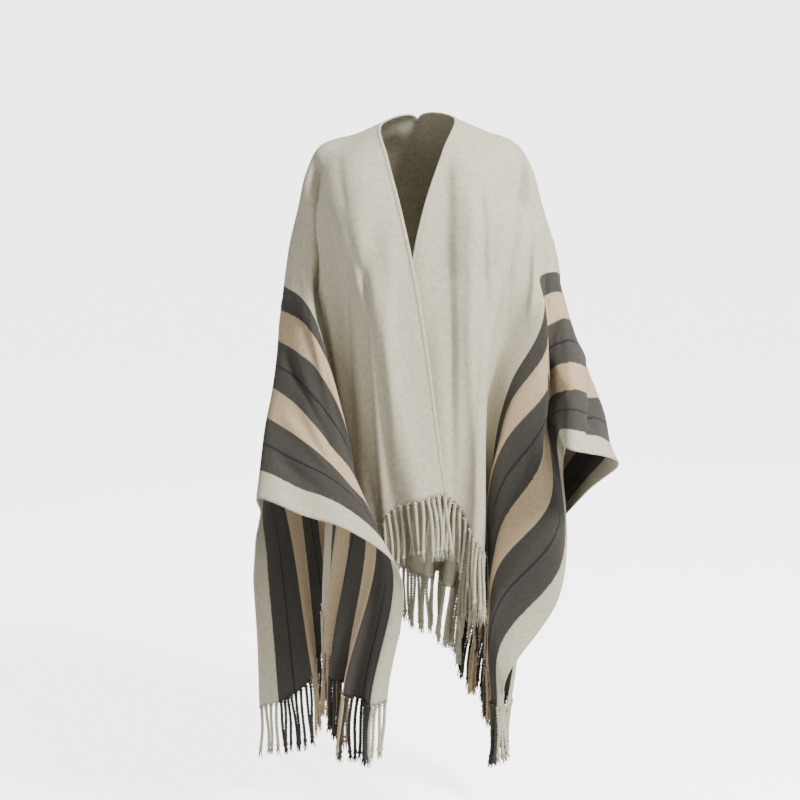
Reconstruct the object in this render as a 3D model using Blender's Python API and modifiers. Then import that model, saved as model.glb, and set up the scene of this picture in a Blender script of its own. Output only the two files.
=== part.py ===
"""An open-front woven cape with fringed hems, worn over both arms.

One woven rectangle is slit from the middle of its front hem to the nape. It lies over the
shoulders and along both arms, and its halves hang in front and behind. The shape is drawn
by guide lines that run across the cloth from the slit to the selvedge: the ridge where it
lies on the shoulder and arm, where it turns over, where it sweeps, where it falls, and the
hem. A thread that runs from hem to hem passes through one point of each line.
Metres, +Z up, the front faces -Y, and the origin is at the neck on the shoulder line.
"""

import bmesh
import bpy
import numpy as np
from mathutils import Vector

# The stripes' widths, from the slit to the selvedge
STRIPES = {"cream": 0.365, "dark_1": 0.042, "tan_1": 0.055, "dark_2": 0.090,
           "tan_2": 0.060, "dark_3": 0.100, "border": 0.050}

# Sizes of the cut
HALF_WIDTH = sum(STRIPES.values())  # slit to selvedge, 0.762
WALL = 0.002  # the brushed cloth's thickness
HEM_WALL = 0.0035  # the slit's edges, turned and stitched
HEM_WIDTH = 0.006
NAPE_WIDTH = 0.05  # on each side of the slit's end
SEAM_GAP = 0.0003

# The fringe: a heading strip below each hem, and its strands
HEADING = 0.005
HEADING_WALL = 0.0017
CELLS_PER_COLUMN = 2  # of the heading, with a strand on every other one
FRINGE_GAP = 0.0009  # below the wall, whose rim tilts a little in the pleats
STRAND_LENGTH = 0.095
STRAND_TIP = 0.7  # of its width at the root
STRAND_SWAY = 0.006

# How finely the cloth is divided, across it and between one guide line and the next
COLUMNS = {"front": 36, "back": 44}  # in each half width
FRONT_STEPS = (4, 4, 4, 6)
BACK_STEPS = (3, 3, 3, 6)
SEAM_STEP = 0.03  # a narrow first row, so that both walls leave the ridge alike

COLOURS = {"cloth": (0.62, 0.585, 0.50), "fringe": (0.60, 0.55, 0.46)}


def table(columns, rows):
    """One array for each named column."""
    return dict(zip(columns.split(), np.array(rows, float).T))


PLACE = "across x y z"

RIDGE = {
    "right": table(PLACE, [
        (0.000, -0.062, 0.000, -0.007),
        (0.060, -0.116, 0.005, -0.029),
        (0.117, -0.172, 0.005, -0.048),
        (0.162, -0.193, 0.005, -0.088),
        (0.234, -0.210, 0.010, -0.158),
        (0.309, -0.227, 0.012, -0.230),
        (0.365, -0.236, 0.010, -0.290),
        (0.462, -0.244, -0.020, -0.384),
        (0.552, -0.252, -0.070, -0.458),
        (0.662, -0.263, -0.145, -0.542),
        (0.762, -0.267, -0.215, -0.619),
    ]),
    "left": table(PLACE, [
        (0.000, 0.062, 0.000, 0.003),
        (0.060, 0.116, 0.005, -0.020),
        (0.117, 0.172, 0.005, -0.043),
        (0.162, 0.195, 0.005, -0.075),
        (0.234, 0.216, 0.010, -0.145),
        (0.309, 0.234, 0.010, -0.220),
        (0.365, 0.245, 0.005, -0.265),
        (0.462, 0.253, -0.050, -0.340),
        (0.552, 0.257, -0.120, -0.405),
        (0.662, 0.257, -0.206, -0.470),
        (0.762, 0.253, -0.287, -0.522),
    ]),
}

FRONT = {
    "right": {
        "over": table(PLACE, [
            (0.000, -0.051, -0.070, -0.065),
            (0.060, -0.111, -0.060, -0.065),
            (0.117, -0.156, -0.040, -0.075),
            (0.162, -0.181, -0.030, -0.110),
            (0.234, -0.194, -0.020, -0.174),
            (0.300, -0.206, -0.020, -0.238),
            (0.365, -0.206, -0.035, -0.300),
            (0.462, -0.205, -0.080, -0.395),
            (0.552, -0.203, -0.136, -0.480),
            (0.662, -0.202, -0.190, -0.562),
            (0.762, -0.200, -0.238, -0.640),
        ]),
        "sweep": table(PLACE, [
            (0.000, -0.031, -0.108, -0.138),
            (0.060, -0.095, -0.112, -0.146),
            (0.117, -0.138, -0.090, -0.156),
            (0.162, -0.165, -0.056, -0.165),
            (0.234, -0.180, -0.038, -0.205),
            (0.300, -0.190, -0.036, -0.260),
            (0.365, -0.190, -0.058, -0.316),
            (0.462, -0.172, -0.122, -0.418),
            (0.552, -0.155, -0.177, -0.528),
            (0.662, -0.140, -0.212, -0.590),
            (0.762, -0.124, -0.250, -0.662),
        ]),
        "fall": table(PLACE, [
            (0.000, -0.008, -0.130, -0.242),
            (0.060, -0.072, -0.134, -0.262),
            (0.117, -0.105, -0.120, -0.263),
            (0.162, -0.130, -0.085, -0.250),
            (0.234, -0.155, -0.050, -0.270),
            (0.300, -0.178, -0.038, -0.305),
            (0.365, -0.172, -0.076, -0.355),
            (0.462, -0.146, -0.143, -0.455),
            (0.552, -0.115, -0.188, -0.580),
            (0.662, -0.080, -0.225, -0.648),
            (0.762, -0.048, -0.252, -0.712),
        ]),
        "hem": table(PLACE, [
            (0.000, 0.049, -0.162, -0.625),
            (0.060, 0.000, -0.172, -0.636),
            (0.100, -0.040, -0.158, -0.652),
            (0.140, -0.072, -0.150, -0.690),
            (0.175, -0.098, -0.115, -0.735),
            (0.215, -0.120, -0.080, -0.775),
            (0.260, -0.140, -0.050, -0.810),
            (0.300, -0.162, -0.045, -0.840),
            (0.340, -0.172, -0.072, -0.870),
            (0.385, -0.150, -0.098, -0.900),
            (0.425, -0.165, -0.130, -0.920),
            (0.470, -0.136, -0.138, -0.938),
            (0.515, -0.150, -0.170, -0.952),
            (0.560, -0.120, -0.168, -0.962),
            (0.612, -0.128, -0.204, -0.972),
            (0.662, -0.094, -0.198, -0.980),
            (0.712, -0.082, -0.232, -0.980),
            (0.762, -0.052, -0.226, -0.974),
        ]),
    },
    "left": {
        "over": table(PLACE, [
            (0.000, 0.042, -0.060, -0.049),
            (0.060, 0.098, -0.060, -0.062),
            (0.117, 0.145, -0.040, -0.075),
            (0.162, 0.174, -0.030, -0.110),
            (0.234, 0.195, -0.022, -0.174),
            (0.309, 0.210, -0.028, -0.230),
            (0.365, 0.214, -0.035, -0.267),
            (0.462, 0.223, -0.062, -0.352),
            (0.552, 0.227, -0.095, -0.424),
            (0.612, 0.228, -0.114, -0.464),
            (0.662, 0.230, -0.128, -0.496),
            (0.712, 0.240, -0.132, -0.532),
            (0.762, 0.249, -0.134, -0.558),
        ]),
        "sweep": table(PLACE, [
            (0.000, 0.011, -0.098, -0.135),
            (0.060, 0.087, -0.108, -0.146),
            (0.117, 0.130, -0.095, -0.156),
            (0.162, 0.160, -0.070, -0.175),
            (0.234, 0.178, -0.055, -0.236),
            (0.309, 0.200, -0.065, -0.290),
            (0.365, 0.215, -0.085, -0.333),
            (0.462, 0.222, -0.133, -0.444),
            (0.507, 0.214, -0.160, -0.502),
            (0.552, 0.205, -0.182, -0.570),
            (0.612, 0.222, -0.190, -0.632),
            (0.662, 0.231, -0.190, -0.688),
            (0.712, 0.240, -0.186, -0.750),
            (0.762, 0.244, -0.158, -0.815),
        ]),
        "fall": table(PLACE, [
            (0.000, -0.011, -0.115, -0.233),
            (0.060, 0.065, -0.124, -0.262),
            (0.117, 0.110, -0.122, -0.275),
            (0.162, 0.130, -0.106, -0.310),
            (0.234, 0.136, -0.076, -0.350),
            (0.309, 0.148, -0.064, -0.400),
            (0.365, 0.162, -0.096, -0.446),
            (0.462, 0.150, -0.138, -0.536),
            (0.552, 0.141, -0.160, -0.680),
            (0.612, 0.136, -0.168, -0.757),
            (0.662, 0.138, -0.173, -0.820),
            (0.712, 0.140, -0.177, -0.898),
            (0.762, 0.150, -0.178, -0.966),
        ]),
        "hem": table(PLACE, [
            (0.000, -0.031, -0.132, -0.625),
            (0.060, 0.040, -0.148, -0.632),
            (0.100, 0.070, -0.140, -0.655),
            (0.140, 0.094, -0.164, -0.705),
            (0.185, 0.114, -0.156, -0.735),
            (0.235, 0.096, -0.114, -0.755),
            (0.280, 0.080, -0.080, -0.780),
            (0.320, 0.086, -0.048, -0.805),
            (0.365, 0.112, -0.050, -0.835),
            (0.407, 0.132, -0.076, -0.855),
            (0.450, 0.122, -0.098, -0.872),
            (0.500, 0.140, -0.108, -0.900),
            (0.552, 0.124, -0.128, -0.940),
            (0.612, 0.142, -0.140, -0.985),
            (0.662, 0.128, -0.156, -1.000),
            (0.712, 0.138, -0.170, -1.006),
            (0.762, 0.150, -0.168, -1.002),
        ]),
    },
}

BACK = {
    "right": {
        "over": table(PLACE, [
            (0.000, 0.000, 0.062, -0.004),
            (0.060, -0.060, 0.072, -0.030),
            (0.117, -0.118, 0.070, -0.052),
            (0.162, -0.165, 0.055, -0.085),
            (0.234, -0.203, 0.055, -0.160),
            (0.309, -0.222, 0.055, -0.235),
            (0.365, -0.231, 0.050, -0.295),
            (0.462, -0.240, 0.030, -0.395),
            (0.552, -0.248, -0.015, -0.475),
            (0.662, -0.262, -0.085, -0.570),
            (0.762, -0.272, -0.145, -0.660),
        ]),
        "sweep": table(PLACE, [
            (0.000, 0.000, 0.100, -0.060),
            (0.060, -0.060, 0.110, -0.075),
            (0.117, -0.118, 0.110, -0.100),
            (0.162, -0.160, 0.105, -0.140),
            (0.234, -0.190, 0.105, -0.215),
            (0.309, -0.205, 0.115, -0.300),
            (0.365, -0.212, 0.120, -0.360),
            (0.462, -0.222, 0.105, -0.460),
            (0.552, -0.240, 0.070, -0.550),
            (0.662, -0.268, 0.000, -0.655),
            (0.762, -0.290, -0.060, -0.745),
        ]),
        "fall": table(PLACE, [
            (0.000, 0.000, 0.125, -0.150),
            (0.060, -0.060, 0.133, -0.165),
            (0.117, -0.112, 0.132, -0.190),
            (0.162, -0.148, 0.138, -0.235),
            (0.234, -0.178, 0.140, -0.320),
            (0.309, -0.192, 0.158, -0.410),
            (0.365, -0.200, 0.168, -0.475),
            (0.462, -0.210, 0.155, -0.580),
            (0.552, -0.225, 0.125, -0.670),
            (0.662, -0.258, 0.080, -0.780),
            (0.762, -0.298, 0.040, -0.860),
        ]),
        "hem": table(PLACE, [
            (0.000, 0.000, 0.150, -0.860),
            (0.055, -0.034, 0.180, -0.860),
            (0.120, -0.050, 0.122, -0.866),
            (0.175, -0.078, 0.170, -0.880),
            (0.225, -0.084, 0.128, -0.900),
            (0.300, -0.117, 0.192, -0.925),
            (0.370, -0.124, 0.130, -0.948),
            (0.430, -0.151, 0.166, -0.972),
            (0.490, -0.158, 0.112, -0.996),
            (0.552, -0.192, 0.138, -1.020),
            (0.612, -0.198, 0.092, -1.048),
            (0.662, -0.230, 0.085, -1.076),
            (0.712, -0.262, 0.092, -1.096),
            (0.762, -0.298, 0.085, -1.106),
        ]),
    },
    "left": {
        "over": table(PLACE, [
            (0.000, 0.000, 0.062, -0.004),
            (0.060, 0.060, 0.072, -0.028),
            (0.117, 0.118, 0.070, -0.050),
            (0.162, 0.168, 0.055, -0.078),
            (0.234, 0.215, 0.055, -0.150),
            (0.309, 0.243, 0.055, -0.235),
            (0.365, 0.255, 0.045, -0.285),
            (0.462, 0.275, -0.005, -0.365),
            (0.552, 0.295, -0.070, -0.430),
            (0.662, 0.318, -0.150, -0.504),
            (0.762, 0.330, -0.235, -0.553),
        ]),
        "sweep": table(PLACE, [
            (0.000, 0.000, 0.100, -0.060),
            (0.060, 0.060, 0.110, -0.075),
            (0.117, 0.118, 0.110, -0.100),
            (0.162, 0.160, 0.105, -0.135),
            (0.234, 0.195, 0.105, -0.205),
            (0.309, 0.222, 0.110, -0.295),
            (0.365, 0.240, 0.110, -0.355),
            (0.462, 0.262, 0.080, -0.445),
            (0.552, 0.285, 0.020, -0.515),
            (0.662, 0.300, -0.070, -0.588),
            (0.762, 0.292, -0.140, -0.625),
        ]),
        "fall": table(PLACE, [
            (0.000, 0.000, 0.125, -0.150),
            (0.060, 0.060, 0.128, -0.165),
            (0.117, 0.112, 0.138, -0.190),
            (0.162, 0.148, 0.138, -0.230),
            (0.234, 0.178, 0.142, -0.310),
            (0.309, 0.200, 0.155, -0.400),
            (0.365, 0.215, 0.160, -0.460),
            (0.462, 0.235, 0.140, -0.560),
            (0.552, 0.245, 0.100, -0.640),
            (0.662, 0.235, 0.030, -0.720),
            (0.762, 0.215, -0.040, -0.780),
        ]),
        "hem": table(PLACE, [
            (0.000, 0.000, 0.150, -0.860),
            (0.045, 0.022, 0.128, -0.860),
            (0.105, 0.037, 0.176, -0.864),
            (0.170, 0.060, 0.120, -0.876),
            (0.240, 0.074, 0.186, -0.895),
            (0.300, 0.089, 0.134, -0.920),
            (0.360, 0.099, 0.174, -0.945),
            (0.430, 0.119, 0.116, -0.970),
            (0.500, 0.133, 0.174, -0.998),
            (0.560, 0.145, 0.127, -1.028),
            (0.612, 0.162, 0.148, -1.050),
            (0.662, 0.166, 0.106, -1.070),
            (0.712, 0.178, 0.070, -1.082),
            (0.762, 0.166, 0.030, -1.090),
        ]),
    },
}

# The softer folds, as ridges (or troughs, where deep is negative) that run down the cloth.
# start and full are places along a thread: 0 at the ridge line, 1 where it turns over,
# 2 at the sweep, 3 at the fall and 4 at the hem. The hem's own rows hold the deep pleats.
FOLD = "across width deep start full"
FOLDS = {
    ("front", "right"): table(FOLD, [
        (0.065, 0.018, 0.006, 1.6, 3.2),
        (0.100, 0.014, -0.006, 1.6, 3.2),
        (0.140, 0.016, -0.008, 1.8, 3.2),
    ]),
    ("front", "left"): table(FOLD, [
        (0.030, 0.016, -0.004, 1.4, 3.0),
        (0.122, 0.020, -0.006, 1.0, 2.8),
    ]),
    ("back", "right"): table(FOLD, [
        (0.050, 0.022, 0.006, 1.8, 3.0),
        (0.110, 0.022, -0.007, 1.6, 3.0),
        (0.170, 0.020, 0.008, 1.8, 3.0),
    ]),
    ("back", "left"): table(FOLD, [
        (0.050, 0.020, -0.006, 1.8, 3.0),
        (0.110, 0.022, 0.007, 1.6, 3.0),
        (0.170, 0.020, -0.008, 1.8, 3.0),
    ]),
}


def through(at, knots, values):
    """A smooth curve through a table's rows, read at each place in at."""
    at = np.clip(at, knots[0], knots[-1])
    step = np.diff(knots)
    slope = np.diff(values) / step
    tangent = np.empty_like(values)
    tangent[1:-1] = (slope[:-1] * step[1:] + slope[1:] * step[:-1]) / (step[1:] + step[:-1])
    tangent[0], tangent[-1] = slope[0], slope[-1]
    k = np.clip(np.searchsorted(knots, at, side="right") - 1, 0, len(step) - 1)
    t = (at - knots[k]) / step[k]
    return hermite(t, values[k], values[k + 1], tangent[k] * step[k], tangent[k + 1] * step[k])


def hermite(t, start, end, leaving, arriving):
    return ((2 * t**3 - 3 * t**2 + 1) * start + (t**3 - 2 * t**2 + t) * leaving
            + (3 * t**2 - 2 * t**3) * end + (t**3 - t**2) * arriving)


def guide(line, across):
    """The points of a guide line at each cloth position across."""
    return np.stack([through(across, line["across"], line[axis]) for axis in "xyz"], -1)


def thread(half, side, across, along):
    """Points of the plain cloth: across from the slit, and along from ridge (0) to hem (4)."""
    lines = {"front": FRONT, "back": BACK}
    other = {"front": "back", "back": "front"}[half]
    stops = [guide(RIDGE[side], across)]
    stops += [guide(lines[half][side][name], across) for name in ("over", "sweep", "fall", "hem")]
    before = guide(lines[other][side]["over"], across)
    gaps = [np.linalg.norm(b - a, axis=-1, keepdims=True)
            for a, b in zip([before] + stops[:-1], stops)]
    tangents = []
    for k, stop in enumerate(stops[:-1]):
        arriving = (stop - (stops[k - 1] if k else before)) / gaps[k]
        leaving = (stops[k + 1] - stop) / gaps[k + 1]
        mix = (arriving * gaps[k + 1] + leaving * gaps[k]) / (gaps[k] + gaps[k + 1])
        if half == "back" and k == 1:  # so that the slit ends in a corner at the nape
            near = np.clip(1 - across / NAPE_WIDTH, 0, 1)[..., None]
            mix = mix * (1 - near) + leaving * near
        tangents.append(mix)
    tangents.append((stops[4] - stops[3]) / gaps[4])
    points = np.zeros(np.broadcast(across, along).shape + (3,))
    for k in range(4):
        t = np.clip(along - k, 0, 1)[..., None]
        span = gaps[k + 1]
        piece = hermite(t, stops[k], stops[k + 1], tangents[k] * span, tangents[k + 1] * span)
        here = (along >= k) & ((along < k + 1) | (k == 3))
        points = np.where(here[..., None], piece, points)
    return points


def outward(half, side, across, along):
    """The plain cloth's unit normal, out of the garment."""
    step = 0.004
    low, high = np.clip(across - step, 0, HALF_WIDTH), np.clip(across + step, 0, HALF_WIDTH)
    near, far = np.clip(along - step, 0, 4), np.clip(along + step, 0, 4)
    sideways = thread(half, side, high, along) - thread(half, side, low, along)
    onward = thread(half, side, across, far) - thread(half, side, across, near)
    normal = np.cross(sideways, onward)
    normal /= np.linalg.norm(normal, axis=-1, keepdims=True)
    turned = (half == "back") != (side == "left")
    return -normal if turned else normal


def cloth(half, side, across, along):
    """The cloth's middle surface with its folds."""
    across, along = np.broadcast_arrays(np.asarray(across, float), np.asarray(along, float))
    folds = FOLDS[half, side]
    height = np.zeros(across.shape)
    for centre, width, deep, start, full in zip(*(folds[name] for name in FOLD.split())):
        grown = np.clip((along - start) / (full - start), 0, 1)
        height += deep * grown**2 * (3 - 2 * grown) * np.exp(-((across - centre) / width) ** 2)
    if half == "back":
        height *= np.clip(across / 0.03, 0, 1)  # both sides meet in the middle of the back
    points = thread(half, side, across, along)
    return points + height[..., None] * outward(half, side, across, along)


def stops_along(steps, first):
    """Places along a thread: steps[k] rows between guide lines k and k + 1."""
    rows = np.concatenate([k + np.arange(count) / count for k, count in enumerate(steps)] + [[4]])
    return np.concatenate([[first, SEAM_STEP], rows[1:]])


def columns(half):
    """Cloth positions from the slit to the selvedge, with narrow ones for the slit's hem."""
    even = np.linspace(0, HALF_WIDTH, COLUMNS[half] + 1)
    hem = [HEM_WIDTH, HEM_WIDTH * 1.5] if half == "front" else []
    return np.concatenate([[0], hem, even[1:]])


def grid_faces(bm, rows):
    """Joins a grid of bmesh vertices with quads."""
    for low, high in zip(rows, rows[1:]):
        for a, b, c, d in zip(low, low[1:], high[1:], high):
            bm.faces.new((a, b, c, d))


def seam_start(half, side, across):
    """The place along a thread that lies half a seam gap from the ridge line."""
    probe = 0.01
    ends = [cloth(half, side, across, np.full(across.shape, along)) for along in (0.0, probe)]
    pace = np.linalg.norm(ends[1] - ends[0], axis=-1) / probe
    return SEAM_GAP / 2 / pace


def add_object(name, bm, colour, collection):
    mesh = bpy.data.meshes.new(name)
    bm.to_mesh(mesh)
    bm.free()
    mesh.shade_smooth()
    material = bpy.data.materials.new(name)
    material.use_nodes = True
    shader = material.node_tree.nodes["Principled BSDF"]
    shader.inputs["Base Color"].default_value = (*colour, 1)
    shader.inputs["Roughness"].default_value = 0.95
    shader.inputs["Metallic"].default_value = 0
    mesh.materials.append(material)
    obj = bpy.data.objects.new(name, mesh)
    collection.objects.link(obj)
    return obj


def sheet_rows(bm, half, side, across, steps):
    """The vertices of one half of the cloth, a list for each column."""
    first = seam_start(half, side, across)
    grid = []
    for position, start in zip(across, first):
        along = stops_along(steps, start)
        grid.append([bm.verts.new(p) for p in cloth(half, side, np.full(along.shape, position), along)])
    return grid


def add_walls(obj, thick):
    """A wall on both sides of the middle surface, thicker along the stitched edge."""
    group = obj.vertex_groups.new(name="wall")
    group.add(range(len(obj.data.vertices)), WALL / HEM_WALL, "REPLACE")
    group.add(thick, 1.0, "REPLACE")
    shell = obj.modifiers.new("Wall", "SOLIDIFY")
    shell.thickness = HEM_WALL
    shell.offset = 0
    shell.vertex_group = "wall"
    shell.use_even_offset = False


def front_panel(side, collection):
    bm = bmesh.new()
    grid = sheet_rows(bm, "front", side, columns("front"), FRONT_STEPS)
    grid_faces(bm, grid)
    bm.verts.index_update()
    edge = [v.index for column in grid[:2] for v in column]
    bmesh.ops.recalc_face_normals(bm, faces=bm.faces)
    add_walls(add_object(f"{side}_front", bm, COLOURS["cloth"], collection), edge)


def back_panel(collection):
    """Both sides of the back, joined from the nape to the hem."""
    bm = bmesh.new()
    for side in ("right", "left"):
        grid_faces(bm, sheet_rows(bm, "back", side, columns("back"), BACK_STEPS))
    bmesh.ops.remove_doubles(bm, verts=bm.verts, dist=1e-5)
    bmesh.ops.recalc_face_normals(bm, faces=bm.faces)
    add_walls(add_object("back", bm, COLOURS["cloth"], collection), [])


def hem_edge(half, side):
    """Points along the hem, the way down and the way out there, between the wall's columns."""
    corners = columns(half)
    hem = np.full(corners.shape, 4.0)
    end = cloth(half, side, corners, hem)
    onward = end - cloth(half, side, corners, hem - 0.1)
    step = 0.5 * HALF_WIDTH / COLUMNS[half]
    sideways = (cloth(half, side, np.minimum(corners + step, HALF_WIDTH), hem)
                - cloth(half, side, np.maximum(corners - step, 0), hem))
    out = np.cross(sideways, onward)
    down = np.cross(out, sideways)
    down *= np.sign(np.sum(down * onward, axis=-1, keepdims=True))
    places = np.linspace(0, HALF_WIDTH, CELLS_PER_COLUMN * COLUMNS[half] + 1)
    edge = []
    for values in (end, down, out):
        if values is not end:
            values = values / np.linalg.norm(values, axis=-1, keepdims=True)
        edge.append(np.stack([np.interp(places, corners, values[:, i]) for i in range(3)], -1))
    end, down, out = edge
    return end + down * FRINGE_GAP, down, out


def fringe(name, half, sides, collection):
    """A heading strip under the hem, with a strand drawn down from every other cell of it."""
    bm = bmesh.new()
    edges = []
    for side in sides:
        edges.append(hem_edge(half, side))
    if len(edges) == 2:
        edges[1] = (edges[1][0], edges[1][1], -edges[1][2])
        edge = [np.concatenate([a[::-1], b[1:]]) for a, b in zip(*edges)]
    else:
        edge = edges[0]
    top, down, out = edge
    corners = []
    for drop, side_out in ((0, -1), (0, 1), (HEADING, 1), (HEADING, -1)):
        corners.append(top + down * drop + out * side_out * HEADING_WALL / 2)
    rings = [[bm.verts.new(corner[k]) for corner in corners] for k in range(len(top))]
    bottoms = []
    for k, (a, b) in enumerate(zip(rings, rings[1:])):
        for i in range(4):
            face = bm.faces.new((a[i], a[(i + 1) % 4], b[(i + 1) % 4], b[i]))
            if i == 2 and k % 2 == 0:
                bottoms.append((k, face))
    bm.faces.new(rings[0])
    bm.faces.new(rings[-1][::-1])
    for k, face in bottoms:
        fall = (Vector(down[k]) + Vector((0, 0, -1.5))).normalized()
        sway = Vector(out[k]) * STRAND_SWAY * np.sin(2.3 * k)
        face = bmesh.ops.extrude_discrete_faces(bm, faces=[face])["faces"][0]
        middle = face.calc_center_median()
        for v in face.verts:
            v.co = middle + (v.co - middle) * STRAND_TIP + fall * STRAND_LENGTH + sway
    bmesh.ops.recalc_face_normals(bm, faces=bm.faces)
    add_object(name, bm, COLOURS["fringe"], collection)


def main():
    for obj in list(bpy.data.objects):
        bpy.data.objects.remove(obj)
    collection = bpy.data.collections.new("fringed_cape")
    bpy.context.scene.collection.children.link(collection)
    for side in ("right", "left"):
        front_panel(side, collection)
        fringe(f"fringe_{side}_front", "front", [side], collection)
    back_panel(collection)
    fringe("fringe_back", "back", ["right", "left"], collection)


main()
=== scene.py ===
import math

import bmesh
import bpy
import numpy as np
from mathutils import Matrix, Vector


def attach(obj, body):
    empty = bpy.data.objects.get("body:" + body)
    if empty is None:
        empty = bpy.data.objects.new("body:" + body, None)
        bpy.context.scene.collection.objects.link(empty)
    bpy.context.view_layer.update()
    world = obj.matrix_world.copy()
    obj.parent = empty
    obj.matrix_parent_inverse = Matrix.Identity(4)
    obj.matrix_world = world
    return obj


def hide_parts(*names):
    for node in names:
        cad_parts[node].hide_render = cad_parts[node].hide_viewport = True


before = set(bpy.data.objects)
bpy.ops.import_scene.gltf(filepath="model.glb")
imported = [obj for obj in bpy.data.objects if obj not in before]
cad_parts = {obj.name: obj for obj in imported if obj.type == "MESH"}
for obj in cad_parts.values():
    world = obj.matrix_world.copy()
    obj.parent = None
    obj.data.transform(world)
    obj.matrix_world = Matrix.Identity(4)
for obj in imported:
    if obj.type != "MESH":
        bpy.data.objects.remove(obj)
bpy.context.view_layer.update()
print("cape: frame loaded")

# The cut, in metres. Stripe widths run from the slit to the selvedge.
cut = {
    "stripes": {"cream": 0.365, "dark1": 0.042, "tan1": 0.055, "dark2": 0.090,
                "tan2": 0.060, "dark3": 0.100, "border": 0.050},
    "length": 1.50,
    "wall": 0.0018,
    "napeWidth": 0.05,
    "middleFade": 0.03,
}
halfWidth = sum(cut["stripes"].values())

# How finely the cloth is divided: columns in each half width, and rows between guide lines
mesh = {"columns": 133, "frontRows": (10, 12, 14, 48), "backRows": (8, 8, 12, 66)}


def table(columns, rows):
    return dict(zip(columns.split(), np.array(rows, float).T))


def guideLine(*rows):
    return table("across x y z", rows)


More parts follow.
